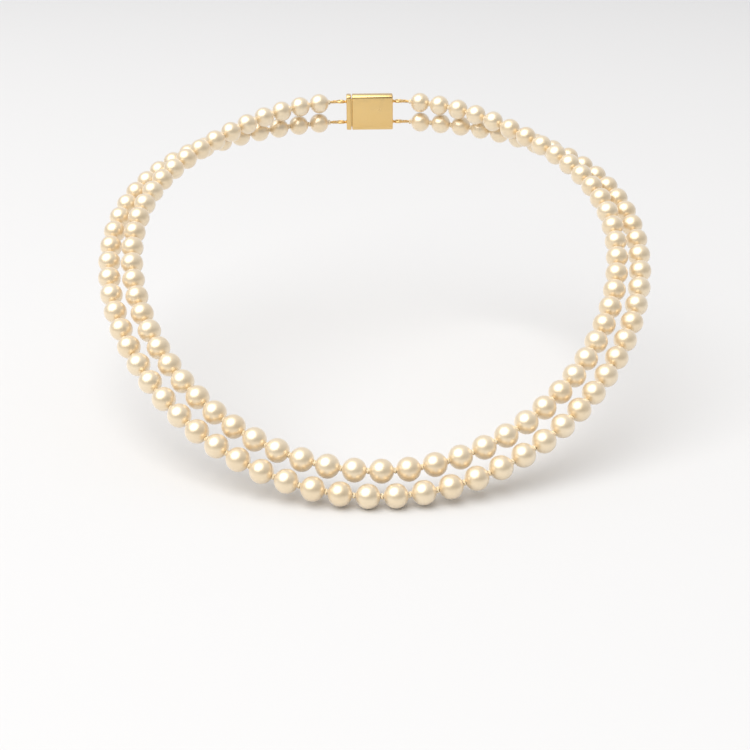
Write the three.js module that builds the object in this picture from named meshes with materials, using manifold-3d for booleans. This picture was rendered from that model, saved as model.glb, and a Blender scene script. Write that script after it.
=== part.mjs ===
// A two-row pearl necklace, knotted between its pearls and closed by a two-row box clasp at the nape.
// Millimetres, +Z up. The origin is on the neck's axis, halfway up the sloping loop.
// The front of the necklace is towards -Y, the clasp towards +Y, and "right" is +X, as seen from the front.

import * as THREE from 'three';
import { mergeVertices } from 'three/addons/utils/BufferGeometryUtils.js';
import Module from 'manifold-3d';

const wasm = await Module();
wasm.setup();

// ---------------------------------------------------------------- driving dimensions

// Pearls and rows
const PEARL_DIAMETER = 6.5;
const KNOT_DIAMETER = 1.7;
const OUTER_COUNT = 68; // even, so a knot is at the middle of the front
const INNER_COUNT = 65; // odd, so a pearl is at the middle of the front
const ROW_SPACING = 7; // from the outer row's centre line to the inner row's
const CLASP_SPAN = 35; // along a row, from its last pearl on one side of the clasp to that on the other

// The outer row's centre line at the angle t, which runs from the front (0) round to the nape.
// Each list holds the sizes of its 1st, 2nd, ... harmonics of t.
const WIDTH_TERMS = [78.5, -1.5, 0.5];
const DEPTH_TERMS = [78.5, -0.5, 0.5];
const RISE_TERMS = [31.5, 5];

// The way from the outer row to the inner one, in degrees above the level inward direction.
// It keeps near the side value longer on the way to the nape than on the way to the front.
const FRONT_ROLL = 40;
const SIDE_ROLL = 16;
const NAPE_ROLL = 90;
const FRONT_EASE = 2;
const NAPE_EASE = 6;

// Runs of pearls that move as one piece, between the places where the rows bend
const RUNS_PER_SIDE = 6;
const RUN_PEARLS = 5;
const OUTER_FRONT_PEARLS = 8;
const INNER_FRONT_PEARLS = 7;

const TOUCH_GAP = 0.3; // left between pieces that touch

// Clasp, lying along X, with its outer face towards +Y
const CASE_MOUTH = -6; // X of the case's open end
const CASE_END = 7.9; // X of its closed end
const CASE_THICKNESS = 4.4;
const CLASP_HEIGHT = 12;
const CORNER_RADIUS = 1.2;
const WALL = 0.6;
const LIP_BOTTOM = 1.3; // Y of the lip's lower edge across the mouth
const NOTCH_WIDTH = 5.2;
const NOTCH_END = -3.2; // X where the notch for the thumb tab ends
const COVER_THICKNESS = 0.7;
const END_BAR_THICKNESS = 1.6;
const RING_RADIUS = 1.3; // of the ring wire's centre line
const RING_WIRE_RADIUS = 0.4;
const GIMP_RADIUS = 0.35;
const LEAF_THICKNESS = 0.5;
const LEAF_LENGTH = 9.8;
const LEAF_WIDTH = 8.8;
const LEAF_SLOPE = 6.5; // degrees that the relaxed leaf rises from its fold
const LEAF_PIVOT = new THREE.Vector3(4.7, -0.35, 0);
const TAB_WIDTH = 4;
const TAB_HEIGHT = 3.2;
const TAB_THICKNESS = 0.9;
const BASE_THICKNESS = 0.4;
const BASE_WIDTH = 9.6;

// How finely round shapes are faceted
const PEARL_SIDES = 8;
const PEARL_BANDS = 4; // round each pearl, from one drill hole to the other
const CORNER_SEGMENTS = 4;
const RING_SIDES = 7;
const RING_SEGMENTS = 16;
const GIMP_SIDES = 7;
const GIMP_SEGMENTS = 26;

// ---------------------------------------------------------------- worked-out dimensions

const PEARL_RADIUS = PEARL_DIAMETER / 2;
const KNOT_RADIUS = KNOT_DIAMETER / 2;
const RING_X = CASE_END + TOUCH_GAP + RING_WIRE_RADIUS + RING_RADIUS; // centre of a ring
const PIVOT_X = RING_X + RING_RADIUS; // centre of the ring's outer wire, on which a gimp loop turns
const HALF_CASE = CASE_THICKNESS / 2;
const CASE_FLOOR = -HALF_CASE + WALL; // Y of the floor inside the case
const HOLE_ANGLE = Math.asin(KNOT_RADIUS / PEARL_RADIUS);
const HOLE_DEPTH = PEARL_RADIUS * Math.cos(HOLE_ANGLE); // from a pearl's centre to the rim of its hole

// ---------------------------------------------------------------- materials

function standard(color, roughness, metalness) {
  return new THREE.MeshStandardMaterial({ color, roughness, metalness });
}

const pearlMaterial = () => standard(0xf0dfc0, 0.22, 0);
const goldMaterial = () => standard(0xd9b366, 0.25, 1);
const gimpMaterial = () => standard(0xdcbc78, 0.4, 1);

// ---------------------------------------------------------------- solids

// Turns a closed geometry into a manifold solid.
function toSolid(geometry) {
  const bare = geometry.clone();
  bare.deleteAttribute('normal');
  bare.deleteAttribute('uv');
  const merged = mergeVertices(bare, 1e-5);
  return new wasm.Manifold(new wasm.Mesh({
    numProp: 3,
    vertProperties: Float32Array.from(merged.attributes.position.array),
    triVerts: Uint32Array.from(merged.index.array),
  }));
}

// Turns a manifold solid back into a geometry.
function toGeometry(solid) {
  const mesh = solid.getMesh();
  const geometry = new THREE.BufferGeometry();
  geometry.setAttribute('position', new THREE.BufferAttribute(Float32Array.from(mesh.vertProperties), 3));
  geometry.setIndex(new THREE.BufferAttribute(Uint32Array.from(mesh.triVerts), 1));
  geometry.computeVertexNormals();
  return geometry;
}

// The first geometry less all the others.
function cut(geometry, ...tools) {
  const solid = tools.reduce((rest, tool) => rest.subtract(toSolid(tool)), toSolid(geometry));
  return toGeometry(solid);
}

function blockBetween(x0, x1, y0, y1, z0, z1) {
  const box = new THREE.BoxGeometry(x1 - x0, y1 - y0, z1 - z0);
  return box.translate((x0 + x1) / 2, (y0 + y1) / 2, (z0 + z1) / 2);
}

function roundedRectangle(width, height, radius) {
  const w = width / 2;
  const h = height / 2;
  const shape = new THREE.Shape();
  shape.moveTo(-w + radius, -h);
  shape.lineTo(w - radius, -h);
  shape.absarc(w - radius, -h + radius, radius, -Math.PI / 2, 0, false);
  shape.lineTo(w, h - radius);
  shape.absarc(w - radius, h - radius, radius, 0, Math.PI / 2, false);
  shape.lineTo(-w + radius, h);
  shape.absarc(-w + radius, h - radius, radius, Math.PI / 2, Math.PI, false);
  shape.lineTo(-w, -h + radius);
  shape.absarc(-w + radius, -h + radius, radius, Math.PI, 1.5 * Math.PI, false);
  return shape;
}

// A rounded bar along X, from x0 to x1, with the clasp's own section.
function claspBar(x0, x1) {
  const section = roundedRectangle(CLASP_HEIGHT, CASE_THICKNESS, CORNER_RADIUS);
  const bar = new THREE.ExtrudeGeometry(section, {
    depth: x1 - x0,
    bevelEnabled: false,
    curveSegments: CORNER_SEGMENTS,
  });
  const toClasp = new THREE.Matrix4().makeBasis(
    new THREE.Vector3(0, 0, 1),
    new THREE.Vector3(0, 1, 0),
    new THREE.Vector3(-1, 0, 0),
  );
  return bar.applyMatrix4(toClasp).translate(x1, 0, 0);
}

// ---------------------------------------------------------------- the two rows

const UP = new THREE.Vector3(0, 0, 1);

// The outer row's centre line. u runs from 0 at the nape, round the left side, the front (0.5) and the
// right side, back to 1 at the nape.
class OuterRow extends THREE.Curve {
  getPoint(u, target = new THREE.Vector3()) {
    const t = Math.PI * (2 * u - 1);
    const sum = (terms, wave) => terms.reduce((total, term, i) => total + term * wave((i + 1) * t), 0);
    return target.set(sum(WIDTH_TERMS, Math.sin), -sum(DEPTH_TERMS, Math.cos), -sum(RISE_TERMS, Math.cos));
  }
}

// Along a row: its direction, the level way inwards, and the way up square to both.
function frameOf(tangent) {
  const inward = new THREE.Vector3().crossVectors(UP, tangent).normalize();
  const upward = new THREE.Vector3().crossVectors(tangent, inward);
  return { tangent, inward, upward };
}

// The inner row's centre line, at the row spacing from the outer one.
class InnerRow extends THREE.Curve {
  constructor(outer) {
    super();
    this.outer = outer;
  }

  getPoint(u, target = new THREE.Vector3()) {
    const t = Math.PI * (2 * u - 1);
    const inFront = Math.cos(t) > 0;
    const share = Math.abs(Math.cos(t)) ** (inFront ? FRONT_EASE : NAPE_EASE);
    const roll = THREE.MathUtils.degToRad(
      THREE.MathUtils.lerp(SIDE_ROLL, inFront ? FRONT_ROLL : NAPE_ROLL, share),
    );
    const { inward, upward } = frameOf(this.outer.getTangent(u));
    return target
      .copy(this.outer.getPoint(u))
      .addScaledVector(inward, ROW_SPACING * Math.cos(roll))
      .addScaledVector(upward, ROW_SPACING * Math.sin(roll));
  }
}

// A row of pearls: its curve, its pitch, and the arc of each pearl from the middle of the front.
function makeRow(curve, count) {
  curve.arcLengthDivisions = 1440;
  const length = curve.getLength();
  const pitch = (length - CLASP_SPAN) / (count - 1);
  const place = (arc) => {
    const u = 0.5 + arc / length;
    return { centre: curve.getPointAt(u), ...frameOf(curve.getTangentAt(u)) };
  };
  const arcOf = (pearl) => (pearl - (count - 1) / 2) * pitch;
  return { count, length, pitch, place, arcOf };
}

const outerCurve = new OuterRow();
const outerRow = makeRow(outerCurve, OUTER_COUNT);
const innerRow = makeRow(new InnerRow(outerCurve), INNER_COUNT);

// ---------------------------------------------------------------- runs of pearls

// How far a knot stands out of the end of a run: to the touching gap before what follows it.
function endKnotLength(row) {
  return row.pitch - 2 * HOLE_DEPTH - TOUCH_GAP;
}

// A closed string of pearls from number first to number last, joined through their knots. A knot also
// stands out of an end that another run or a gimp loop follows.
function pearlRun(row, first, last, knotBefore, knotAfter) {
  const endKnot = endKnotLength(row);
  const top = (last - first) * row.pitch;
  const start = -HOLE_DEPTH - (knotBefore ? endKnot : 0);
  const end = top + HOLE_DEPTH + (knotAfter ? endKnot : 0);
  const profile = [new THREE.Vector2(0, start)];
  if (knotBefore) profile.push(new THREE.Vector2(KNOT_RADIUS, start));
  for (let pearl = first; pearl <= last; pearl += 1) {
    for (let band = 0; band <= PEARL_BANDS; band += 1) {
      const angle = HOLE_ANGLE + ((Math.PI - 2 * HOLE_ANGLE) * band) / PEARL_BANDS;
      const along = (pearl - first) * row.pitch - PEARL_RADIUS * Math.cos(angle);
      profile.push(new THREE.Vector2(PEARL_RADIUS * Math.sin(angle), along));
    }
  }
  if (knotAfter) profile.push(new THREE.Vector2(KNOT_RADIUS, end));
  profile.push(new THREE.Vector2(0, end));
  const geometry = new THREE.LatheGeometry(profile, PEARL_SIDES);

  // The straight string is laid along the row, each pearl keeping its own round shape.
  const places = [];
  for (let pearl = first; pearl <= last; pearl += 1) places.push(row.place(row.arcOf(pearl)));
  const position = geometry.attributes.position;
  for (let i = 0; i < position.count; i += 1) {
    const along = position.getY(i);
    const nearest = THREE.MathUtils.clamp(Math.round(along / row.pitch), 0, last - first);
    const { centre, tangent, inward, upward } = places[nearest];
    const vertex = centre.clone()
      .addScaledVector(tangent, along - nearest * row.pitch)
      .addScaledVector(inward, position.getX(i))
      .addScaledVector(upward, -position.getZ(i));
    position.setXYZ(i, vertex.x, vertex.y, vertex.z);
  }
  geometry.computeVertexNormals();
  return geometry;
}

// ---------------------------------------------------------------- the assembly

const necklace = new THREE.Group();

function add(parent, name, geometry, material) {
  const mesh = new THREE.Mesh(geometry, material);
  mesh.name = name;
  parent.add(mesh);
  return mesh;
}

// A row's front run, then its runs out to the clasp on both sides. The last run takes what is left.
function addRow(label, row, frontPearls) {
  const frontFirst = (row.count - frontPearls) / 2;
  const frontLast = frontFirst + frontPearls - 1;
  add(necklace, `${label}_front_run`, pearlRun(row, frontFirst, frontLast, true, true), pearlMaterial());
  for (let run = 1; run <= RUNS_PER_SIDE; run += 1) {
    const near = frontLast + 1 + (run - 1) * RUN_PEARLS;
    const far = run === RUNS_PER_SIDE ? row.count - 1 : near + RUN_PEARLS - 1;
    const mirrored = (pearl) => row.count - 1 - pearl;
    add(necklace, `${label}_right_run_${run}`, pearlRun(row, near, far, false, true), pearlMaterial());
    add(
      necklace,
      `${label}_left_run_${run}`,
      pearlRun(row, mirrored(far), mirrored(near), true, false),
      pearlMaterial(),
    );
  }
}

addRow('outer', outerRow, OUTER_FRONT_PEARLS);
addRow('inner', innerRow, INNER_FRONT_PEARLS);

// The clasp lies where both rows reach its rings.
const atRing = [outerRow, innerRow].map((row) => row.place(row.length / 2 - PIVOT_X).centre);
const clasp = new THREE.Group();
clasp.position.set(0, (atRing[0].y + atRing[1].y) / 2, (atRing[0].z + atRing[1].z) / 2);
necklace.add(clasp);
const RING_HEIGHTS = { lower: atRing[0].z - clasp.position.z, upper: atRing[1].z - clasp.position.z };

// What is cut away so that the thumb tab can pass, from well beyond the mouth.
const CUT_START = CASE_MOUTH - WALL;

function tabNotch() {
  return blockBetween(CUT_START, NOTCH_END, 0, CASE_THICKNESS, -NOTCH_WIDTH / 2, NOTCH_WIDTH / 2);
}

function claspCase() {
  const cavity = blockBetween(
    CASE_MOUTH + WALL,
    CASE_END - WALL,
    CASE_FLOOR,
    HALF_CASE - WALL,
    -CLASP_HEIGHT / 2 + WALL,
    CLASP_HEIGHT / 2 - WALL,
  );
  const mouth = blockBetween(
    CUT_START,
    CASE_MOUTH + 2 * WALL,
    CASE_FLOOR,
    LIP_BOTTOM,
    -CLASP_HEIGHT / 2 + WALL,
    CLASP_HEIGHT / 2 - WALL,
  );
  return cut(claspBar(CASE_MOUTH, CASE_END), cavity, mouth, tabNotch());
}

function claspCover() {
  const length = CASE_END - CASE_MOUTH - 2 * WALL;
  const width = CLASP_HEIGHT - 2 * CORNER_RADIUS;
  const outline = roundedRectangle(length, width, CORNER_RADIUS);
  const plate = new THREE.ExtrudeGeometry(outline, {
    depth: COVER_THICKNESS,
    bevelEnabled: false,
    curveSegments: CORNER_SEGMENTS,
  });
  plate.rotateX(-Math.PI / 2);
  plate.translate((CASE_MOUTH + CASE_END) / 2, HALF_CASE + TOUCH_GAP, 0);
  return cut(plate, tabNotch());
}

// The tongue's flat strip, which turns up at the fold beyond the spring leaf.
function tongueBase() {
  const low = CASE_FLOOR + TOUCH_GAP;
  const foldStart = LEAF_PIVOT.x + TOUCH_GAP;
  const outline = new THREE.Shape([
    new THREE.Vector2(CASE_MOUTH, low),
    new THREE.Vector2(foldStart + BASE_THICKNESS, low),
    new THREE.Vector2(foldStart + BASE_THICKNESS, LEAF_PIVOT.y + LEAF_THICKNESS / 2),
    new THREE.Vector2(foldStart, LEAF_PIVOT.y + LEAF_THICKNESS / 2),
    new THREE.Vector2(foldStart, low + BASE_THICKNESS),
    new THREE.Vector2(CASE_MOUTH, low + BASE_THICKNESS),
  ]);
  const strip = new THREE.ExtrudeGeometry(outline, { depth: BASE_WIDTH, bevelEnabled: false });
  return strip.translate(0, 0, -BASE_WIDTH / 2);
}

// The sprung leaf with its thumb tab, level, with its fold at the origin.
function springLeaf() {
  const half = LEAF_THICKNESS / 2;
  const leaf = blockBetween(-LEAF_LENGTH, 0, -half, half, -LEAF_WIDTH / 2, LEAF_WIDTH / 2);
  const tab = blockBetween(
    -LEAF_LENGTH,
    -LEAF_LENGTH + TAB_THICKNESS,
    -half,
    TAB_HEIGHT,
    -TAB_WIDTH / 2,
    TAB_WIDTH / 2,
  );
  return toGeometry(toSolid(leaf).add(toSolid(tab)));
}

add(clasp, 'clasp_case', claspCase(), goldMaterial());
add(clasp, 'clasp_cover', claspCover(), goldMaterial());
add(clasp, 'tongue_end_bar', claspBar(-CASE_END, -CASE_END + END_BAR_THICKNESS), goldMaterial());
add(clasp, 'tongue_base', tongueBase(), goldMaterial());
const leaf = add(clasp, 'spring_leaf', springLeaf(), goldMaterial());
leaf.position.copy(LEAF_PIVOT);
leaf.rotation.z = -THREE.MathUtils.degToRad(LEAF_SLOPE);

// A gimp loop: out of the row's last pearl, round the ring's outer wire, and back. side is 1 or -1.
const BEND_ALLOWANCE = 0.05; // for the bend's facets, which come a little closer than the curve
const LEG_GAP = 0.16; // between the two legs, at the pearl
const WRAP_RADIUS = RING_WIRE_RADIUS + TOUCH_GAP + GIMP_RADIUS + BEND_ALLOWANCE;
const LEG_SPREAD = GIMP_RADIUS + LEG_GAP / 2; // from the loop's middle to each leg
const WAIST = 0.6; // share of the way to the pearl where the legs have started to close
const WAIST_SPREAD = 0.75 * WRAP_RADIUS;
const WRAP_START = 80; // degrees round the wire, where a leg meets the bend
const WRAP_POINTS = 7;

function gimpLoop(row, side) {
  const reach = CLASP_SPAN / 2 - HOLE_DEPTH - endKnotLength(row) - TOUCH_GAP;
  const end = row.place(side * (row.length / 2 - reach)).centre.sub(clasp.position);
  const wire = row.place(side * (row.length / 2 - PIVOT_X)).centre.sub(clasp.position);
  wire.set(side * PIVOT_X, 0, wire.z);
  const besideLeg = (along, across) => {
    const middle = wire.clone().lerp(end, along);
    return middle.add(new THREE.Vector3(0, across, 0));
  };
  const bend = [];
  for (let i = 0; i < WRAP_POINTS; i += 1) {
    const degrees = THREE.MathUtils.lerp(WRAP_START, 360 - WRAP_START, i / (WRAP_POINTS - 1));
    const angle = THREE.MathUtils.degToRad(degrees);
    const out = new THREE.Vector3(side * Math.cos(angle), Math.sin(angle), 0);
    bend.push(wire.clone().addScaledVector(out, WRAP_RADIUS));
  }
  const path = new THREE.CatmullRomCurve3([
    besideLeg(1, LEG_SPREAD),
    besideLeg(WAIST, WAIST_SPREAD),
    ...bend,
    besideLeg(WAIST, -WAIST_SPREAD),
    besideLeg(1, -LEG_SPREAD),
  ]);
  const section = new THREE.Shape().absarc(0, 0, GIMP_RADIUS, 0, 2 * Math.PI, false);
  return new THREE.ExtrudeGeometry(section, {
    steps: GIMP_SEGMENTS,
    curveSegments: GIMP_SIDES,
    extrudePath: path,
    bevelEnabled: false,
  });
}

for (const [label, side] of [['right', 1], ['left', -1]]) {
  for (const [level, row] of [['lower', outerRow], ['upper', innerRow]]) {
    const ring = new THREE.TorusGeometry(RING_RADIUS, RING_WIRE_RADIUS, RING_SIDES, RING_SEGMENTS);
    const mesh = add(clasp, `${label}_${level}_ring`, ring, goldMaterial());
    mesh.rotation.x = Math.PI / 2;
    mesh.position.set(side * RING_X, 0, RING_HEIGHTS[level]);
    add(clasp, `${label}_${level}_gimp_loop`, gimpLoop(row, side), gimpMaterial());
  }
}

export default necklace;
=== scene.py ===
"""A two-row pearl necklace, knotted on silk and closed at the nape by a sprung two-row box clasp.

Sizes are in millimetres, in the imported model's frame: +Z up, the front towards -Y, the clasp
towards +Y, and "right" is +X. They become metres where a mesh, light or camera is made.
"""

import math

import bmesh
import bpy
import numpy as np
from mathutils import Matrix, Vector


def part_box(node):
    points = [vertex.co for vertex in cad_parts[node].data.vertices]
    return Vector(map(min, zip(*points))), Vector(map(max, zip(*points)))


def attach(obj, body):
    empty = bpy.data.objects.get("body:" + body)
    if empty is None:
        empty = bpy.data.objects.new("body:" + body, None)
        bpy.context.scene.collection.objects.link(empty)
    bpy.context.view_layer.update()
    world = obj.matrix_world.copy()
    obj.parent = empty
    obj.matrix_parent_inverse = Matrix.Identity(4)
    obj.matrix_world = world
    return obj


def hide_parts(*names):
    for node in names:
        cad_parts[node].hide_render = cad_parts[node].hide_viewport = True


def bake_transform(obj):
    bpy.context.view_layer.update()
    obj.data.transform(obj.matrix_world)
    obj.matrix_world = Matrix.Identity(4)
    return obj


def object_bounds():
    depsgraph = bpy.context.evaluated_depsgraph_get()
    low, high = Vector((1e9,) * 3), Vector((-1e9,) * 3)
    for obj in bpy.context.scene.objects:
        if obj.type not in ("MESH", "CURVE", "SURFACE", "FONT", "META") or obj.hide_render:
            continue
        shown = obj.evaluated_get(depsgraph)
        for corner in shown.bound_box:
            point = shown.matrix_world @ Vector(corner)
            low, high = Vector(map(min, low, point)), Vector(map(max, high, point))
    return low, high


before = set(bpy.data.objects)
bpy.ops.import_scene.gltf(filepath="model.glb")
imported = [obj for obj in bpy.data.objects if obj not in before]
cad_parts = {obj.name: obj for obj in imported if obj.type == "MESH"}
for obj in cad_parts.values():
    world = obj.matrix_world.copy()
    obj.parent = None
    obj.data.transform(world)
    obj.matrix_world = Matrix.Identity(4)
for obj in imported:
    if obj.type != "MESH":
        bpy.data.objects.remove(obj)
CAD_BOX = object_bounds()

# ---------------------------------------------------------------- sizes

MM = 0.001


def box_of(node):
    """A CAD node's lowest and highest corners at rest."""
    low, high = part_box(node)
    return np.array(low) / MM, np.array(high) / MM


# Pearls, each smaller and shorter than the full size by up to the share that the spreads give
PEARL_RADIUS = 3.25
PEARL_BANDS = 22
PEARL_SIDES = 36
SIZE_SPREAD = 0.004
LENGTH_SPREAD = 0.006
BORE_RADIUS = 0.42
BORE_RIM = 0.12

# Rows, each of a front run and more runs down both sides. The same run of both rows is on one body.
ROW_SPACING = 7
CLASP_SPAN = 35
OUTER_COUNT = 68
INNER_COUNT = 65
OUTER_FRONT_PEARLS = 8
INNER_FRONT_PEARLS = 7
RUNS_PER_SIDE = 6
RUN_PEARLS = 5
LINE_POINTS = 7201

# The outer row's centre line: the sizes of its 1st, 2nd, ... harmonics, from the front to the nape
WIDTH_TERMS = [78.5, -1.5, 0.5]
DEPTH_TERMS = [78.5, -0.5, 0.5]
RISE_TERMS = [31.5, 5]

# How far the inner row is rolled up from lying level inside the outer one, in degrees, and the powers
# of the angle's cosine by which the roll changes from the sides to the front and to the nape
FRONT_ROLL = 40
SIDE_ROLL = 16
NAPE_ROLL = 90
FRONT_EASE = 2
NAPE_EASE = 6

# Silk
CORD_RADIUS = 0.24
CORD_SIDES = 9
CORD_STEP = 0.35
CORD_PLIES = 3
PLY_DEPTH = 0.12
PLY_PITCH = 2.4
KNOT_POINTS = 54
KNOT_SPREAD = 0.42
KNOT_BULGE = 0.2
KNOT_DEPTH = 0.15
KNOT_CORD_RADIUS = 0.27
KNOT_SQUEEZE = (0.94, 1.04)
KNOT_REACH = KNOT_DEPTH + KNOT_CORD_RADIUS

# Clasp, with its outer face towards +Y. X is the model's, and Y and Z are from the case's middle.
case_low, case_high = box_of("clasp_case")
CASE_MOUTH = case_low[0]
CASE_END = case_high[0]
CASE_THICKNESS = case_high[1] - case_low[1]
HALF_CASE = CASE_THICKNESS / 2
CLASP_HEIGHT = case_high[2] - case_low[2]
CLASP_PLACE = (case_low + case_high) / 2 * [0, 1, 1]
CLASP_MATRIX = Matrix.Translation(Vector(CLASP_PLACE) * MM)
CORNER_RADIUS = 1.2
CORNER_POINTS = 9
EDGE_RADIUS = 0.35
EDGE_POINTS = 5
WALL = 0.6
LIP_BOTTOM = 1.3
NOTCH_WIDTH = 5.2
NOTCH_END = -3.2
CASE_BEVEL = 0.12
BEVEL_SEGMENTS = 3
BEVEL_ANGLE = 40
TOUCH_GAP = 0.3

# Cover: heights above the case, and how far in from its edge each part of it begins and is complete
COVER_SINK = 0.02
COVER_RIM = 0.45
COVER_GROOVE = 0.15
COVER_CROWN = 0.22
REED_HEIGHT = 0.25
REED_PITCH = 0.8
RIM_RISE = (0.0, 0.12)
GROOVE_FALL = (1.0, 1.12)
GROOVE_RISE = (1.12, 1.3)
FIELD_RISE = (1.2, 1.5)
COVER_COLUMNS = 110
COVER_ROWS = 121
BEAD_RADIUS = 0.24
BEAD_SIDES = 10
BEAD_BANDS = 6
BEAD_POLE = 0.15
BEAD_PITCH = 0.5
BEAD_INSET = 0.62
BEAD_CORNER_POINTS = 7
BEAD_NOTCH_GAP = 0.3

# Tongue, with its fold flattened along X. The pivot is the place in X and Y that the leaf springs about.
bar_low, bar_high = box_of("tongue_end_bar")
END_BAR_SPAN = (bar_low[0], bar_high[0])
BASE_THICKNESS = 0.4
BASE_WIDTH = 9.6
BASE_BEVEL = 0.08
FOLD_POINTS = 17
FOLD_SQUASH = 0.8
FOLD_INSIDE_SQUASH = 0.6
LEAF_PIVOT = (4.7, -0.35)
LEAF_THICKNESS = 0.5
LEAF_LENGTH = 9.8
LEAF_WIDTH = 8.8
LEAF_SLOPE = 6.5
LEAF_BEVEL = 0.07
LEAF_NOSE_POINTS = 7
TAB_WIDTH = 4
TAB_HEIGHT = 3.2
TAB_THICKNESS = 0.9
TAB_SINK = 0.05
TAB_TIP_POINTS = 13
TAB_RIDGES = 4
FIRST_RIDGE_DOWN = 0.75
RIDGE_PITCH = 0.32
RIDGE_HEIGHT = 0.12
RIDGE_HALF_WIDTH = 0.1

# Rings, with the solder as (distance out of the clasp's end, radius) pairs
RING_RADIUS = 1.3
RING_WIRE_RADIUS = 0.4
RING_X = CASE_END + TOUCH_GAP + RING_WIRE_RADIUS + RING_RADIUS
RING_POINTS = 56
RING_WIRE_SIDES = 18
SOLDER_PROFILE = [(0, 0.02), (0, 0.78), (0.12, 0.62), (0.3, 0.5), (0.5, 0.46), (0.72, 0.3), (0.76, 0.02)]
SOLDER_SIDES = 20
SOLDER_SINK = 0.03
PIVOT_X = RING_X + RING_RADIUS

# Gimp loops, from the last knot round the ring's outer wire. LEG_SPREAD is how far each leg starts from
# the middle. The shoulders lie at a share of the way to the knot, out by a share of the wrap's radius.
GIMP_RADIUS = 0.35
GIMP_WIRE_RADIUS = 0.085
GIMP_WIRE_SIDES = 6
GIMP_PITCH = 0.19
GIMP_TURN_POINTS = 10
LOOP_SILK_SIDES = 8
WRAP_RADIUS = RING_WIRE_RADIUS + TOUCH_GAP + GIMP_RADIUS
WRAP_FROM = 80
WRAP_TO = 280
WRAP_POINTS = 9
WRAP_SLOPE = 0.4
LEG_SPREAD = 0.08
SHOULDER_WAY = 0.62
SHOULDER_WIDTH = 0.72
LOOP_STEPS = 12

rng = np.random.default_rng(11)

# ---------------------------------------------------------------- paths


def unit(v):
    return v / np.linalg.norm(v, axis=-1, keepdims=True)


def arcs_along(path):
    """How far along the path each of its points lies."""
    return np.concatenate([[0], np.cumsum(np.linalg.norm(np.diff(path, axis=0), axis=1))])


def places_at(path, arcs, at):
    """The place on the path at one arc, or at each of several."""
    return np.stack([np.interp(at, arcs, values) for values in path.T], axis=-1)


def arc_points(centre, radius, start, end, count, squash=1.0):
    """Points on an arc between two angles in degrees, its first coordinate squashed."""
    return [
        (centre[0] + squash * radius * math.cos(a), centre[1] + radius * math.sin(a))
        for a in np.radians(np.linspace(start, end, count))
    ]


def rounded_rectangle(half_width, half_height, radius, corner_points):
    """Points round a rectangle with round corners."""
    w, h = half_width - radius, half_height - radius
    outline = []
    for x, y, turn in ((w, h, 0), (-w, h, 90), (-w, -h, 180), (w, -h, 270)):
        outline += arc_points((x, y), radius, turn, turn + 90, corner_points)
    return np.array(outline)


def smooth_path(points, steps):
    """A Catmull-Rom curve through the points, with that many steps between each two."""
    p = np.array([2 * points[0] - points[1], *points, 2 * points[-1] - points[-2]])
    path = []
    for a, b, c, d in zip(p, p[1:], p[2:], p[3:]):
        first = c - a
        second = 2 * a - 5 * b + 4 * c - d
        third = 3 * b - a - 3 * c + d
        path += [b + 0.5 * (first * s + second * s**2 + third * s**3) for s in np.arange(steps) / steps]
    return np.array([*path, points[-1]])


def carried_frames(path, closed):
    """Unit normals and binormals along a path that turn with it and don't twist."""
    ahead = np.roll(path, -1, axis=0) - np.roll(path, 1, axis=0)
    if not closed:
        ahead[0] = path[1] - path[0]
        ahead[-1] = path[-1] - path[-2]
    tangents = unit(ahead)
    first = np.cross(tangents[0], [0.0, 0.0, 1.0])
    if np.linalg.norm(first) < 0.3:  # the path starts too steeply for Z to give a normal
        first = np.cross(tangents[0], [0.0, 1.0, 0.0])
    normals = [unit(first)]
    for tangent in tangents[1:]:
        normals.append(unit(normals[-1] - tangent * np.dot(normals[-1], tangent)))
    normals = np.array(normals)
    return normals, np.cross(tangents, normals)


def coil_about(path, radius, pitch):
    """A helix round a path."""
    arcs = arcs_along(path)
    turns = int(arcs[-1] / pitch)
    share = np.linspace(0, 1, turns * GIMP_TURN_POINTS + 1)
    centre = places_at(path, arcs, arcs[-1] * share)
    normals, binormals = carried_frames(centre, closed=False)
    angle = (2 * np.pi * turns * share)[:, None]
    return centre + radius * (np.cos(angle) * normals + np.sin(angle) * binormals)


# ---------------------------------------------------------------- the two rows


def wave_sum(terms, wave, t):
    """The sum of a wave's harmonics."""
    return sum(size * wave((i + 1) * t) for i, size in enumerate(terms))


def outer_line(t):
    """The outer row's centre line, from the front (t = 0) round to the nape (t = pi or -pi)."""
    x = wave_sum(WIDTH_TERMS, np.sin, t)
    y = -wave_sum(DEPTH_TERMS, np.cos, t)
    z = -wave_sum(RISE_TERMS, np.cos, t)
    return np.stack([x, y, z], axis=1)


def frame_along(tangent):
    """The level way inwards, and the way up square to it and to the row."""
    inward = unit(np.cross([0.0, 0.0, 1.0], tangent))
    return inward, np.cross(tangent, inward)


def inner_line(t):
    """The inner row's centre line, at the row spacing from the outer one."""
    step = 1e-4
    inward, upward = frame_along(unit(outer_line(t + step) - outer_line(t - step)))
    c = np.cos(t)
    front = SIDE_ROLL + (FRONT_ROLL - SIDE_ROLL) * np.abs(c) ** FRONT_EASE
    nape = SIDE_ROLL + (NAPE_ROLL - SIDE_ROLL) * np.abs(c) ** NAPE_EASE
    roll = np.radians(np.where(c > 0, front, nape))[:, None]
    return outer_line(t) + ROW_SPACING * (np.cos(roll) * inward + np.sin(roll) * upward)


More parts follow.
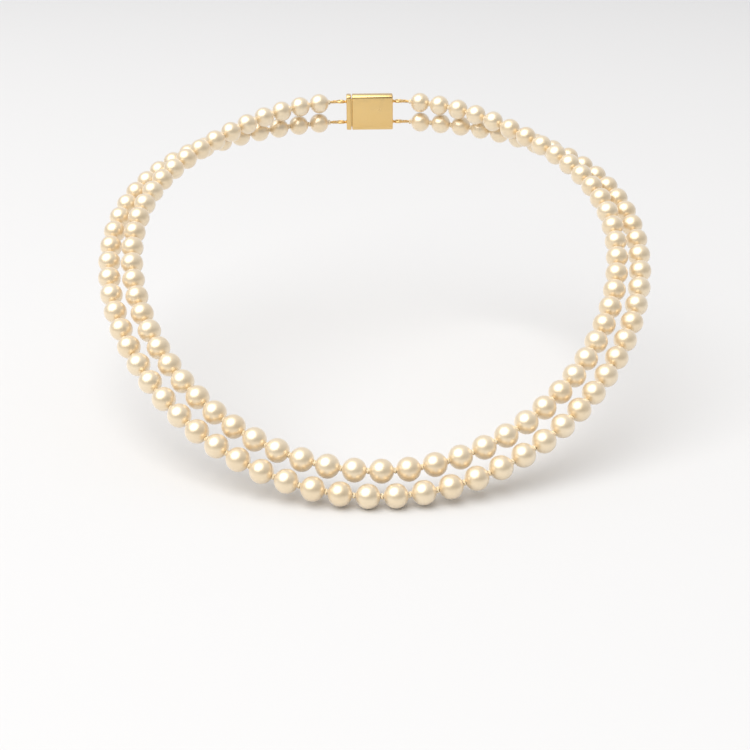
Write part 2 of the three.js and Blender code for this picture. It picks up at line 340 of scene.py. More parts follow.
class Row:
    """A row of pearls, counted from the left of the nape. An arc is measured from the front's middle."""

    def __init__(self, label, line, count, front_pearls):
        self.points = line(np.linspace(-np.pi, np.pi, LINE_POINTS))
        self.arcs = arcs_along(self.points)
        self.length = self.arcs[-1]
        self.label = label
        self.count = count
        self.front_pearls = front_pearls
        self.pitch = (self.length - CLASP_SPAN) / (count - 1)

    def point(self, arc):
        """The place at one arc, or at each of several."""
        return places_at(self.points, self.arcs, arc + self.length / 2)

    def tangent(self, arc):
        step = 0.05
        return unit(self.point(arc + step) - self.point(arc - step))

    def arc_of(self, pearl):
        return (pearl - (self.count - 1) / 2) * self.pitch

    def run_of(self, pearl):
        """(side, run) of a pearl, with run 0 at the front."""
        steps = abs(pearl - (self.count - 1) / 2) - self.front_pearls / 2
        if steps < 0:
            return "", 0
        run = min(int(steps // RUN_PEARLS) + 1, RUNS_PER_SIDE)
        return ("right" if pearl > self.count / 2 else "left"), run

    def matrix(self, arc, turn):
        """Object matrix in metres at that arc, with X along the row, turned about it."""
        tangent = self.tangent(arc)
        basis = Matrix(np.stack([tangent, *frame_along(tangent)], axis=1).tolist()).to_4x4()
        return Matrix.Translation(Vector(self.point(arc)) * MM) @ basis @ Matrix.Rotation(turn, 4, "X")


def body_name(side, run):
    return f"{side}_rows_{run}" if run else "front"


def run_node(row, side, run):
    return f"{row.label}_{side}_run_{run}" if run else f"{row.label}_front_run"


outer_row = Row("outer", outer_line, OUTER_COUNT, OUTER_FRONT_PEARLS)
inner_row = Row("inner", inner_line, INNER_COUNT, INNER_FRONT_PEARLS)

# The clasp's two levels, each with its row
LEVELS = {"lower": outer_row, "upper": inner_row}


def ring_height(row):
    """How far above the clasp's middle the row's rings are."""
    return row.point(row.length / 2 - PIVOT_X)[2] - CLASP_PLACE[2]


# ---------------------------------------------------------------- materials

PEARL_SHADE = (0.86, 0.685, 0.42, 1)
PEARL_LIGHT = (0.92, 0.76, 0.51, 1)
PEARL_TINT = (0.97, 0.93, 0.86, 1)
WHITE = (1.0, 1.0, 1.0, 1)
HOLE_COLOUR = (0.62, 0.44, 0.24, 1)
SILK_SHADE = (0.86, 0.68, 0.40, 1)
SILK_LIGHT = (0.98, 0.90, 0.70, 1)
SILK_SHEEN = (1.0, 0.93, 0.78, 1)
GOLD_SHADE = (0.76, 0.51, 0.20, 1)
GOLD_LIGHT = (0.88, 0.64, 0.30, 1)
FLOOR_COLOUR = (0.73, 0.73, 0.73, 1)

# A pearl takes the hole's colour between these distances from its middle, in metres
HOLE_FROM = 0.955 * PEARL_RADIUS * MM
HOLE_TO = 0.99 * PEARL_RADIUS * MM

# A Mix node has these sockets when it mixes colours
MIX_SHARE = 0
MIX_FIRST = 6
MIX_SECOND = 7
MIXED = 2


def new_material(name, **settings):
    """A material with its Principled shader's own sockets set."""
    material = bpy.data.materials.new(name)
    material.use_nodes = True
    shader = material.node_tree.nodes["Principled BSDF"]
    for socket, value in settings.items():
        shader.inputs[socket.replace("_", " ")].default_value = value
    return material, shader


def add_node(owner, kind, inputs=None, **settings):
    """A node of a material or world, each of its inputs a number, a colour or another node's output."""
    tree = owner.node_tree
    made = tree.nodes.new(kind)
    for key, value in settings.items():
        setattr(made, key, value)
    for socket, value in (inputs or {}).items():
        if isinstance(value, bpy.types.NodeSocket):
            tree.links.new(value, made.inputs[socket])
        else:
            made.inputs[socket].default_value = value
    return made


def link(owner, output, socket):
    owner.node_tree.links.new(output, socket)


def coordinates(owner, kind):
    return add_node(owner, "ShaderNodeTexCoord").outputs[kind]


def noise(material, place, size, detail=2.0, roughness=0.5):
    """Noise whose features are about size millimetres across."""
    inputs = {"Vector": place, "Scale": 1 / (size * MM), "Detail": detail, "Roughness": roughness}
    return add_node(material, "ShaderNodeTexNoise", inputs).outputs[0]


def remap(owner, value, low, high, to_low, to_high):
    inputs = {"Value": value, "From Min": low, "From Max": high, "To Min": to_low, "To Max": to_high}
    return add_node(owner, "ShaderNodeMapRange", inputs).outputs["Result"]


def mix_colours(material, share, first, second, blend_type="MIX"):
    inputs = {MIX_SHARE: share, MIX_FIRST: first, MIX_SECOND: second}
    return add_node(
        material, "ShaderNodeMix", inputs, data_type="RGBA", blend_type=blend_type
    ).outputs[MIXED]


def arithmetic(material, operation, a, b=0.0):
    return add_node(material, "ShaderNodeMath", {0: a, 1: b}, operation=operation).outputs[0]


def add_bump(material, shader, height, strength, depth):
    """Bumps of that depth in millimetres, at full strength."""
    inputs = {"Strength": strength, "Distance": depth * MM, "Height": height}
    bump = add_node(material, "ShaderNodeBump", inputs)
    link(material, bump.outputs[0], shader.inputs["Normal"])


def pearl_material():
    """Dipped glass pearl: cream body, broad soft lustre under a clear lacquer, darker brown round the drill
    holes.
    """
    material, shader = new_material(
        "pearl_lustre",
        Metallic=0.64,
        IOR=1.6,
        Coat_Weight=1.0,
        Coat_Roughness=0.33,
        Coat_IOR=2.5,
        Sheen_Weight=0.5,
        Sheen_Roughness=0.5,
    )
    place = coordinates(material, "Object")
    tone = add_node(material, "ShaderNodeAttribute", attribute_name="tone").outputs["Fac"]
    apart = add_node(material, "ShaderNodeCombineXYZ", {"X": tone, "Y": tone, "Z": tone}).outputs[0]
    shifted = add_node(material, "ShaderNodeVectorMath", {0: place, 1: apart}, operation="ADD").outputs[0]

    cloud = noise(material, shifted, 3.0, detail=3.0)
    body = mix_colours(material, cloud, PEARL_SHADE, PEARL_LIGHT)
    tint = mix_colours(material, tone, PEARL_TINT, WHITE)
    tinted = mix_colours(material, 1, body, tint, blend_type="MULTIPLY")
    along = add_node(material, "ShaderNodeSeparateXYZ", {0: place}).outputs["X"]
    from_middle = arithmetic(material, "ABSOLUTE", along)
    at_hole = remap(material, from_middle, HOLE_FROM, HOLE_TO, 0, 1)
    colour = mix_colours(material, at_hole, tinted, HOLE_COLOUR)
    link(material, colour, shader.inputs["Base Color"])

    smear = noise(material, shifted, 0.9, detail=4.0)
    link(material, remap(material, smear, 0.3, 0.7, 0.34, 0.41), shader.inputs["Roughness"])
    add_bump(material, shader, noise(material, shifted, 1.1, detail=1.0), 0.1, 0.03)
    return material


def silk_material():
    """Waxed silk: soft sheen, strands of light and darker thread, loose fibres."""
    material, shader = new_material(
        "silk_thread", Roughness=0.55, Sheen_Weight=0.5, Sheen_Roughness=0.4, Sheen_Tint=SILK_SHEEN
    )
    place = coordinates(material, "Object")
    fibres = noise(material, place, 0.09, detail=4.0, roughness=0.7)
    strands = noise(material, place, 0.5)
    both = arithmetic(material, "MULTIPLY", fibres, strands)
    colour = mix_colours(material, remap(material, both, 0.15, 0.4, 0, 1), SILK_SHADE, SILK_LIGHT)
    link(material, colour, shader.inputs["Base Color"])
    add_bump(material, shader, fibres, 0.5, 0.03)
    return material


def gold_material(name, roughness, scratch):
    """Gold-tone plate: polished, with fine rubbed scratches and slightly duller patches."""
    material, shader = new_material(name, Metallic=1.0)
    place = coordinates(material, "Object")
    patches = noise(material, place, 2.4, detail=3.0)
    colour = mix_colours(material, patches, GOLD_SHADE, GOLD_LIGHT)
    link(material, colour, shader.inputs["Base Color"])
    dullness = remap(material, patches, 0.3, 0.7, 0.7 * roughness, 1.4 * roughness)
    link(material, dullness, shader.inputs["Roughness"])

    rubbed = {"Vector": place, "Scale": (0.12, 1.0, 1.0)}
    stretched = add_node(material, "ShaderNodeMapping", rubbed).outputs[0]
    scratches = noise(material, stretched, 0.12, detail=5.0, roughness=0.65)
    add_bump(material, shader, scratches, scratch, 0.01)
    return material


pearl = pearl_material()
silk = silk_material()
gold = gold_material("gold_plate", 0.2, 0.25)
gimp_gold = gold_material("gimp_wire", 0.32, 0.1)

# ---------------------------------------------------------------- meshes and pieces

SHARP_ANGLE = 35  # an edge between faces that turn by more degrees than this is shaded sharp


def new_mesh(name, shape):
    """A mesh from a shape: its vertices in millimetres, and its faces."""
    vertices, faces = shape
    mesh = bpy.data.meshes.new(name)
    mesh.from_pydata((vertices * MM).tolist(), [], faces)
    return mesh


def add_object(name, data):
    """An object in the scene, for a mesh, a light or a camera."""
    made = bpy.data.objects.new(name, data)
    bpy.context.scene.collection.objects.link(made)
    return made


def turn_faces_out(mesh):
    shape = bmesh.new()
    shape.from_mesh(mesh)
    bmesh.ops.recalc_face_normals(shape, faces=shape.faces)
    shape.to_mesh(mesh)
    shape.free()


def add_piece(name, shape, material, body=None, matrix=None, sharp=SHARP_ANGLE, tone=None):
    """A piece of the necklace. Without a matrix its vertices are in the model's frame. Without a body it
    rides on none."""
    mesh = new_mesh(name, shape)
    turn_faces_out(mesh)
    mesh.polygons.foreach_set("use_smooth", [True] * len(mesh.polygons))
    mesh.set_sharp_from_angle(angle=math.radians(sharp))
    if tone is not None:
        layer = mesh.attributes.new("tone", "FLOAT", "POINT")
        layer.data.foreach_set("value", [tone] * len(mesh.vertices))
    mesh.materials.append(material)
    piece = add_object(name, mesh)
    if matrix is not None:
        piece.matrix_world = matrix
    if body is not None:
        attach(piece, body)
    return piece


def skin(rings, closed=False):
    """A shape over rings of points, capped at both ends, or joined end to end if closed."""
    count, sides = len(rings), len(rings[0])
    faces = []
    for i in range(count if closed else count - 1):
        a, b = i * sides, (i + 1) % count * sides
        for j in range(sides):
            k = (j + 1) % sides
            faces.append((a + j, a + k, b + k, b + j))
    if not closed:
        faces.append(tuple(reversed(range(sides))))
        faces.append(tuple(range((count - 1) * sides, count * sides)))
    return np.concatenate(rings), faces


def loft(sections, closed=False):
    """A shape through (x, section) pairs, each section's points in Y and Z."""
    return skin([np.column_stack([np.full(len(s), x), s]) for x, s in sections], closed)


def circle(sides):
    """A unit circle's points."""
    angles = np.linspace(0, 2 * np.pi, sides, endpoint=False)
    return np.column_stack([np.cos(angles), np.sin(angles)])


def turned(profile, sides, closed=False):
    """A shape turned about X from (x, radius) pairs."""
    return loft([(x, r * circle(sides)) for x, r in profile], closed)


def extruded(outline, width):
    """A shape with this outline in X and Y, that wide in Z."""
    return skin([np.array([(x, y, z) for x, y in outline]) for z in (-width / 2, width / 2)])


def block(x0, x1, y0, y1, z0, z1):
    section = np.array([(y0, z0), (y1, z0), (y1, z1), (y0, z1)])
    return loft([(x0, section), (x1, section)])


def tube(path, radius, sides, closed=False, plies=0, ply_depth=0.0, ply_pitch=1.0):
    """A tube along a path. With plies, its section is that of twisted strands."""
    normals, binormals = carried_frames(path, closed)
    angles = np.linspace(0, 2 * np.pi, sides, endpoint=False)
    rings = []
    for centre, arc, normal, binormal in zip(path, arcs_along(path), normals, binormals):
        swell = 1 + ply_depth * np.cos(plies * (angles - 2 * np.pi * arc / ply_pitch))
        way = np.outer(np.cos(angles), normal) + np.outer(np.sin(angles), binormal)
        rings.append(centre + (radius * swell)[:, None] * way)
    return skin(rings, closed)


def joined(shapes):
    """Several shapes as one."""
    vertices, faces, count = [], [], 0
    for points, loops in shapes:
        vertices.append(points)
        faces += [tuple(k + count for k in loop) for loop in loops]
        count += len(points)
    return np.concatenate(vertices), faces


# ---------------------------------------------------------------- pearls


def pearl_shape():
    """A drilled pearl: round outside, a rounded rim at each hole, and the bore."""
    hole = math.asin((BORE_RADIUS + BORE_RIM) / PEARL_RADIUS)
    face = PEARL_RADIUS * math.cos(hole)
    rim = [(face - 0.3 * BORE_RIM, BORE_RADIUS + 0.35 * BORE_RIM), (face - BORE_RIM, BORE_RADIUS)]
    far_rim = [(-x, r) for x, r in reversed(rim)]
    edge = math.degrees(hole)
    ball = arc_points((0, 0), PEARL_RADIUS, 180 - edge, edge, PEARL_BANDS + 1)
    return turned([*far_rim, *ball, *rim], PEARL_SIDES, closed=True)


def add_pearls(row):
    vertices, faces = pearl_shape()
    done = set()
    for number in range(row.count):
        side, run = row.run_of(number)
        size = 1 + rng.uniform(-SIZE_SPREAD, 0.0)
        length = 1 + rng.uniform(-LENGTH_SPREAD, 0.0)
        turn = rng.uniform(0, 2 * math.pi)
        tone = rng.uniform(0, 1)
        piece = add_piece(
            f"{row.label}_pearl_{number + 1:02d}",
            (vertices * [size * length, size, size], faces),
            pearl,
            body_name(side, run),
            row.matrix(row.arc_of(number), turn),
            tone=tone,
        )
        node = run_node(row, side, run)
        if node not in done:
            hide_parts(node)
            done.add(node)


# ---------------------------------------------------------------- silk knots and cord


def knot_shape():
    """An overhand knot drawn tight, lying across the cord, which runs along X."""
    a = np.linspace(0, 2 * np.pi, KNOT_POINTS, endpoint=False)
    reach = KNOT_SPREAD + KNOT_BULGE * np.cos(3 * a)
    path = np.stack([KNOT_DEPTH * np.sin(3 * a), reach * np.cos(2 * a), reach * np.sin(2 * a)], axis=1)
    return tube(path, KNOT_CORD_RADIUS, CORD_SIDES, closed=True)


def add_knots(row):
    """A knot between each two pearls and one past each end pearl. A knot belongs to the run of the pearl
    next to it on the way to the front."""
    vertices, faces = knot_shape()
    for before in range(-1, row.count):
        arc = row.arc_of(before + 0.5)
        side, run = row.run_of(before if arc > 0 else before + 1)
        squeeze = rng.uniform(*KNOT_SQUEEZE)
        turn = rng.uniform(0, 2 * math.pi)
        add_piece(
            f"{row.label}_knot_{before + 2:02d}",
            (vertices * [1, squeeze, squeeze], faces),
            silk,
            body_name(side, run),
            row.matrix(arc, turn),
            sharp=60,
        )


def add_cord(name, row, start, end, body=None):
    """Twisted silk cord along the row between two arcs."""
    steps = max(int(abs(end - start) / CORD_STEP), 3)
    path = row.point(np.linspace(start, end, steps + 1))
    cord = tube(path, CORD_RADIUS, CORD_SIDES, plies=CORD_PLIES, ply_depth=PLY_DEPTH, ply_pitch=PLY_PITCH)
    return add_piece(name, cord, silk, body)


def add_cords(row):
    """The cord through each run, and a short length over each hinge, which rides on no body."""
    half_front = row.front_pearls / 2 * row.pitch
    add_cord(f"{row.label}_cord_front", row, -half_front, half_front, "front")
    last = row.arc_of(row.count - 0.5)
    for side, way in (("right", 1), ("left", -1)):
        for run in range(1, RUNS_PER_SIDE + 1):
            knot = half_front + (run - 1) * RUN_PEARLS * row.pitch
            inside = knot + row.pitch / 2
            far = last if run == RUNS_PER_SIDE else knot + RUN_PEARLS * row.pitch
            body = body_name(side, run)
            add_cord(f"{row.label}_{side}_cord_{run}", row, way * inside, way * far, body)
            bend = add_cord(f"{row.label}_{side}_bend_cord_{run}", row, way * knot, way * inside)
            start = Vector(row.point(way * knot)) * MM
            end = Vector(row.point(way * (inside - PEARL_RADIUS))) * MM
            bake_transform(bend)


for row in LEVELS.values():
    add_pearls(row)
    add_knots(row)
    add_cords(row)

# ---------------------------------------------------------------- clasp


def add_clasp_piece(name, shape, body, sharp=SHARP_ANGLE):
    return add_piece(name, shape, gold, body, CLASP_MATRIX, sharp)


def clasp_bar(x0, x1):
    """A bar along X with the clasp's section, and round edges at both ends."""
    edge = [
        (EDGE_RADIUS * (1 - math.cos(a)), EDGE_RADIUS * (1 - math.sin(a)))
        for a in np.linspace(0, math.pi / 2, EDGE_POINTS)
    ]
    ends = [(x0 + along, inset) for along, inset in edge]
    ends += [(x1 - along, inset) for along, inset in reversed(edge)]
    half = CLASP_HEIGHT / 2
    return loft(
        [
            (x, rounded_rectangle(HALF_CASE - inset, half - inset, CORNER_RADIUS - inset, CORNER_POINTS))
            for x, inset in ends
        ]
    )


def finish_edges(piece, width):
    bevel = piece.modifiers.new("edges", "BEVEL")
    bevel.width = width * MM
    bevel.segments = BEVEL_SEGMENTS
    bevel.limit_method = "ANGLE"
    bevel.angle_limit = math.radians(BEVEL_ANGLE)
    bevel.harden_normals = True


def cut_away(piece, *cutters):
    """Cuts blocks out of a piece of the clasp, for good."""
    for shape in cutters:
        cutter = add_object("cutter", new_mesh("cutter", shape))
        cutter.matrix_world = CLASP_MATRIX
        modifier = piece.modifiers.new("cut", "BOOLEAN")
        modifier.operation = "DIFFERENCE"
        modifier.solver = "EXACT"
        modifier.object = cutter
        bpy.context.view_layer.update()
        graph = bpy.context.evaluated_depsgraph_get()
        shape_left = bpy.data.meshes.new_from_object(piece.evaluated_get(graph))
        piece.modifiers.clear()
        piece.data = shape_left
        bpy.data.objects.remove(cutter)
    piece.data.set_sharp_from_angle(angle=math.radians(SHARP_ANGLE))


def tab_notch():
    """What is cut away so that the thumb tab can pass."""
    return block(CASE_MOUTH - WALL, NOTCH_END, 0, CASE_THICKNESS, -NOTCH_WIDTH / 2, NOTCH_WIDTH / 2)


def add_case():
    """A hollow box, open at its mouth under the lip and notched for the thumb tab."""
    case = add_clasp_piece("clasp_case_shell", clasp_bar(CASE_MOUTH, CASE_END), "case")
    floor = -HALF_CASE + WALL
    half = CLASP_HEIGHT / 2 - WALL
    cavity = block(CASE_MOUTH + WALL, CASE_END - WALL, floor, HALF_CASE - WALL, -half, half)
    mouth = block(CASE_MOUTH - WALL, CASE_MOUTH + 2 * WALL, floor, LIP_BOTTOM, -half, half)
    cut_away(case, cavity, mouth, tab_notch())
    finish_edges(case, CASE_BEVEL)
    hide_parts("clasp_case")


def rise(edge, start, end):
    """From 0 at start to 1 at end, with a rounded top."""
    return math.sin(0.5 * math.pi * min(max((edge - start) / (end - start), 0), 1))


def cover_height(x, z, half_length, half_width):
    """The cover's top above the case: a rim, a groove, and reeds that follow a crowned field."""
    edge = min(half_length - abs(x), half_width - abs(z))
    rim = COVER_RIM * rise(edge, *RIM_RISE)
    groove = COVER_GROOVE * rise(edge, *GROOVE_FALL) * (1 - rise(edge, *GROOVE_RISE))
    crown = COVER_CROWN * math.cos(0.5 * math.pi * z / half_width)
    reed = REED_HEIGHT * abs(math.sin(math.pi * (z + half_width) / REED_PITCH))
    return rim - groove + rise(edge, *FIELD_RISE) * (crown + reed)


def cover_top(half_length, half_width):
    """The points of the cover's top in columns along X, those past a round corner drawn in to it."""
    top = []
    for u in np.linspace(-1, 1, COVER_COLUMNS):
        for v in np.linspace(-1, 1, COVER_ROWS):
            x, z = half_length * u, half_width * v
            over_x = max(abs(x) - (half_length - CORNER_RADIUS), 0)
            over_z = max(abs(z) - (half_width - CORNER_RADIUS), 0)
            reach = math.hypot(over_x, over_z)
            if reach > CORNER_RADIUS:
                x -= math.copysign(over_x * (1 - CORNER_RADIUS / reach), x)
                z -= math.copysign(over_z * (1 - CORNER_RADIUS / reach), z)
            top.append((x, cover_height(x, z, half_length, half_width), z))
    return np.array(top)


def cover_shape(half_length, half_width):
    """A closed plate with the cover's top and a flat underside."""
    top = cover_top(half_length, half_width)
    count = len(top)
    faces = []
    for i in range(COVER_COLUMNS - 1):
        for j in range(COVER_ROWS - 1):
            a = i * COVER_ROWS + j
            quad = (a, a + 1, a + COVER_ROWS + 1, a + COVER_ROWS)
            faces.append(quad)
            faces.append(tuple(count + k for k in reversed(quad)))
    grid = np.arange(count).reshape(COVER_COLUMNS, COVER_ROWS)
    border = [*grid[0, :-1], *grid[:-1, -1], *grid[-1, :0:-1], *grid[:0:-1, 0]]
    for a, b in zip(border, border[1:] + border[:1]):
        faces.append((b, a, count + a, count + b))
    return np.concatenate([top, top * [1, 0, 1]]), faces


def add_cover():
    """A reeded plate with a plain rim and a line of beading, cut back at its mouth end for the tab."""
    low, high = box_of("clasp_cover")
    half_length, _, half_width = (high - low) / 2
    middle = (low + high)[0] / 2
    vertices, faces = cover_shape(half_length, half_width)
    plate = (vertices + [middle, HALF_CASE - COVER_SINK, 0], faces)
    cover = add_clasp_piece("clasp_cover_plate", plate, "case")
    cut_away(cover, tab_notch())
    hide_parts("clasp_cover")
    add_beading(half_length, half_width, middle)


def bead(centre):
    """A ball with its axis along Y and a small flat at each pole."""
    angles = np.linspace(BEAD_POLE, math.pi - BEAD_POLE, BEAD_BANDS)
    points, faces = turned([(-math.cos(a), math.sin(a)) for a in angles], BEAD_SIDES)
    return points[:, [1, 0, 2]] * BEAD_RADIUS + centre, faces


def add_beading(half_length, half_width, middle):
    """A line of small beads along the cover's rim, broken at the notch."""
    outline = rounded_rectangle(
        half_length - BEAD_INSET, half_width - BEAD_INSET, CORNER_RADIUS - BEAD_INSET, BEAD_CORNER_POINTS
    )
    outline = np.concatenate([outline, outline[:1]])
    arcs = arcs_along(outline)
    count = int(arcs[-1] / BEAD_PITCH)
    beads = []
    for x, z in places_at(outline, arcs, np.arange(count) * arcs[-1] / count) + [middle, 0]:
        if x > NOTCH_END + BEAD_NOTCH_GAP or abs(z) > NOTCH_WIDTH / 2 + BEAD_NOTCH_GAP:
            beads.append(bead([x, HALF_CASE + COVER_RIM, z]))
    add_clasp_piece("clasp_cover_beading", joined(beads), "case", sharp=60)


def add_end_bar():
    bar = add_clasp_piece("tongue_end_bar_body", clasp_bar(*END_BAR_SPAN), "tongue")
    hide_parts("tongue_end_bar")


def add_tongue():
    """The tongue's lower strip, rolled up at its end where the leaf springs from it."""
    low = -HALF_CASE + WALL + TOUCH_GAP
    top = LEAF_PIVOT[1] + LEAF_THICKNESS / 2
    root = END_BAR_SPAN[1] - TOUCH_GAP
    fold = (LEAF_PIVOT[0] + TOUCH_GAP, (low + top) / 2)
    radius = (top - low) / 2
    outline = [(root, low)]
    outline += arc_points(fold, radius, -90, 90, FOLD_POINTS, FOLD_SQUASH)
    outline += arc_points(fold, radius - BASE_THICKNESS, 90, -90, FOLD_POINTS, FOLD_INSIDE_SQUASH)
    outline += [(root, low + BASE_THICKNESS)]
    base = add_clasp_piece("tongue_base_strip", extruded(outline, BASE_WIDTH), "tongue", sharp=40)
    finish_edges(base, BASE_BEVEL)
    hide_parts("tongue_base")


def leaf_outline():
    """The leaf from its free end to its round end at the pivot, which is at (0, 0)."""
    half = LEAF_THICKNESS / 2
    nose = arc_points((0, 0), half, -60, 60, LEAF_NOSE_POINTS)
    return [(-LEAF_LENGTH, -half), (0, -half), *nose, (0, half), (-LEAF_LENGTH, half)]


def tab_outline():
    """The thumb tab at the leaf's free end, with a round tip and ridges on its outer side."""
    root = -LEAF_THICKNESS / 2 + TAB_SINK
    round_tip = TAB_THICKNESS / 2
    middle = (-LEAF_LENGTH + round_tip, TAB_HEIGHT - round_tip)
    tip = arc_points(middle, round_tip, 0, 180, TAB_TIP_POINTS)
    ridges = []
    for k in range(TAB_RIDGES):
        y = TAB_HEIGHT - FIRST_RIDGE_DOWN - k * RIDGE_PITCH
        ridges.append((-LEAF_LENGTH, y + RIDGE_HALF_WIDTH))
        ridges.append((-LEAF_LENGTH + RIDGE_HEIGHT, y))
        ridges.append((-LEAF_LENGTH, y - RIDGE_HALF_WIDTH))
    return [(-LEAF_LENGTH + TAB_THICKNESS, root), *tip, *ridges, (-LEAF_LENGTH, root)]


def add_leaf():
    """The sprung leaf, sloping up to its free end, where its thumb tab is turned up."""
    c, s = math.cos(math.radians(LEAF_SLOPE)), math.sin(math.radians(LEAF_SLOPE))
    slope = np.array([[c, -s, 0], [s, c, 0], [0, 0, 1]])
    parts = (("spring_leaf_strip", leaf_outline(), LEAF_WIDTH), ("spring_leaf_tab", tab_outline(), TAB_WIDTH))
    for name, outline, width in parts:
        vertices, faces = extruded(outline, width)
        piece = add_clasp_piece(name, (vertices @ slope + [*LEAF_PIVOT, 0], faces), "spring", sharp=40)
        finish_edges(piece, LEAF_BEVEL)
        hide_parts("spring_leaf")


def add_rings():
    """The soldered end rings: a ring of wire, with a post into the clasp and a fillet of solder."""
    level_ring = RING_RADIUS * np.column_stack([circle(RING_POINTS), np.zeros(RING_POINTS)])
    post, post_faces = turned(SOLDER_PROFILE, SOLDER_SIDES)
    for label, way, body in (("right", 1, "case"), ("left", -1, "tongue")):
        for level, row in LEVELS.items():
            up = [0, 0, ring_height(row)]
            path = level_ring + [way * RING_X, 0, 0] + up
            wire = tube(path, RING_WIRE_RADIUS, RING_WIRE_SIDES, closed=True)
            ring = add_clasp_piece(f"{label}_{level}_ring_wire", wire, body)
            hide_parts(f"{label}_{level}_ring")
            vertices = (post + [CASE_END - SOLDER_SINK, 0, 0]) * [way, 1, 1] + up
            add_clasp_piece(f"{label}_{level}_ring_solder", (vertices, post_faces), body)


def loop_path(row, side):
    """A gimp loop's centre line: out of the row's last knot, round the ring's outer wire, and back."""
    end = row.point(side * (row.arc_of(row.count - 0.5) + KNOT_REACH)) - CLASP_PLACE
    wire = np.array([side * PIVOT_X, 0.0, ring_height(row)])
    toward = unit(end - wire)
    across = np.array([-toward[1], toward[0], 0.0]) * side
    shoulder = wire + SHOULDER_WAY * (end - wire)
    wide = SHOULDER_WIDTH * WRAP_RADIUS * across
    points = [end + LEG_SPREAD * across, shoulder + wide]
    for along, aside in arc_points((0, 0), WRAP_RADIUS, WRAP_FROM, WRAP_TO, WRAP_POINTS):
        points.append(wire + along * toward * [1, 1, WRAP_SLOPE] + aside * across)
    points += [shoulder - wide, end - LEG_SPREAD * across]
    return smooth_path(points, LOOP_STEPS)


def add_gimp_loops():
    """A coil of fine wire round a silk core, from the last knot of each row round its ring."""
    for label, side in (("right", 1), ("left", -1)):
        body = body_name(label, RUNS_PER_SIDE)
        for level, row in LEVELS.items():
            path = loop_path(row, side)
            helix = coil_about(path, GIMP_RADIUS - GIMP_WIRE_RADIUS, GIMP_PITCH)
            wire = tube(helix, GIMP_WIRE_RADIUS, GIMP_WIRE_SIDES)
            name = f"{label}_{level}_gimp_coil"
            coil = add_piece(name, wire, gimp_gold, body, CLASP_MATRIX, sharp=70)
            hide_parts(f"{label}_{level}_gimp_loop")
            core = tube(path, GIMP_RADIUS - 2 * GIMP_WIRE_RADIUS, LOOP_SILK_SIDES)
            add_piece(f"{label}_{level}_loop_silk", core, silk, body, CLASP_MATRIX)


add_case()
add_cover()
add_end_bar()
add_tongue()
add_leaf()
add_rings()
add_gimp_loops()

# ---------------------------------------------------------------- stage

FLOOR_SIZE = 6000
FLOOR_GAP = 0.05

# The photograph's view
CAMERA_TARGET = (0, 12.2, -40.5)
CAMERA_DISTANCE = 428.3
CAMERA_AZIMUTH = -1.0
CAMERA_ELEVATION = 22.4
CAMERA_ROLL = 0.44
SENSOR_WIDTH = 36
LENS = 64.8

# The key light's way in the camera's frame: right, up and back towards the camera
LIGHT_WAY = (-0.4, 0.66, 0.64)
LIGHT_DISTANCE = 2500
LIGHT_SIZE = 3700
LIGHT_POWER = 79.0
LIGHT_COLOUR = (1.0, 0.985, 0.96)

# The room is brightest up and ahead of the camera. ROOM_FADE is the cosines of the angle from there
# at which it is darkest and brightest.
ROOM_UP = 0.9
ROOM_AHEAD = 0.45
ROOM_FADE = (-0.35, 0.8)
ROOM_STRENGTH = (0.34, 0.76)
ROOM_COLOUR = (0.98, 0.98, 1.0, 1)


def add_floor():
    half = FLOOR_SIZE / 2
    z = CAD_BOX[0][2] / MM - FLOOR_GAP
    corners = np.array([(-half, -half, z), (half, -half, z), (half, half, z), (-half, half, z)])
    mesh = new_mesh("floor", (corners, [(0, 1, 2, 3)]))
    material, _ = new_material("pale_floor", Base_Color=FLOOR_COLOUR, Roughness=0.8)
    mesh.materials.append(material)
    add_object("floor", mesh)


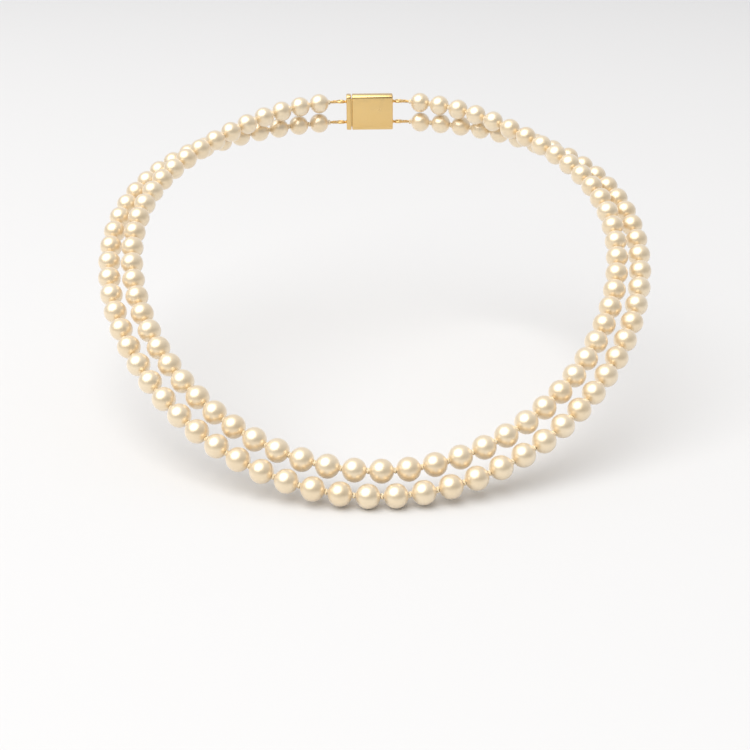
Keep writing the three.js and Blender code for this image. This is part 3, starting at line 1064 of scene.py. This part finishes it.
def camera_axes():
    """The camera's ways right, up and ahead."""
    a, e, r = (math.radians(v) for v in (CAMERA_AZIMUTH, CAMERA_ELEVATION, CAMERA_ROLL))
    ahead = Vector((-math.sin(a) * math.cos(e), math.cos(a) * math.cos(e), -math.sin(e)))
    right = ahead.cross(Vector((0, 0, 1))).normalized()
    up = right.cross(ahead)
    return right * math.cos(r) - up * math.sin(r), right * math.sin(r) + up * math.cos(r), ahead


def looking(place, x_axis, y_axis, ahead):
    """The matrix of a camera or light at that place, in metres."""
    return Matrix.Translation(place) @ Matrix((x_axis, y_axis, -ahead)).transposed().to_4x4()


def add_camera():
    right, up, ahead = camera_axes()
    data = bpy.data.cameras.new("camera")
    data.sensor_width = SENSOR_WIDTH
    data.lens = LENS
    data.clip_start = 0.01
    data.clip_end = 50
    camera = add_object("camera", data)
    place = (Vector(CAMERA_TARGET) - ahead * CAMERA_DISTANCE) * MM
    camera.matrix_world = looking(place, right, up, ahead)
    bpy.context.scene.camera = camera


def add_key_light():
    """A large round soft light, aimed at the middle of the necklace."""
    right, up, ahead = camera_axes()
    x, y, z = LIGHT_WAY
    beam = -(right * x + up * y - ahead * z).normalized()
    data = bpy.data.lights.new("key", "AREA")
    data.shape = "DISK"
    data.size = LIGHT_SIZE * MM
    data.energy = LIGHT_POWER
    data.color = LIGHT_COLOUR
    side = beam.cross(Vector((0, 0, 1))).normalized()
    light = add_object("key", data)
    light.matrix_world = looking(-beam * LIGHT_DISTANCE * MM, side, side.cross(beam), beam)


def add_room():
    """Soft light from all round."""
    _, up, ahead = camera_axes()
    brightest = tuple((up * ROOM_UP + ahead * ROOM_AHEAD).normalized())
    world = bpy.data.worlds.new("studio")
    bpy.context.scene.world = world
    world.use_nodes = True
    background = world.node_tree.nodes["Background"]
    background.inputs["Color"].default_value = ROOM_COLOUR
    inputs = {0: coordinates(world, "Generated"), 1: brightest}
    facing = add_node(world, "ShaderNodeVectorMath", inputs, operation="DOT_PRODUCT").outputs["Value"]
    link(world, remap(world, facing, *ROOM_FADE, *ROOM_STRENGTH), background.inputs["Strength"])


add_floor()
add_camera()
add_key_light()
add_room()
bpy.context.scene.view_settings.view_transform = "Standard"

bpy.context.view_layer.update()
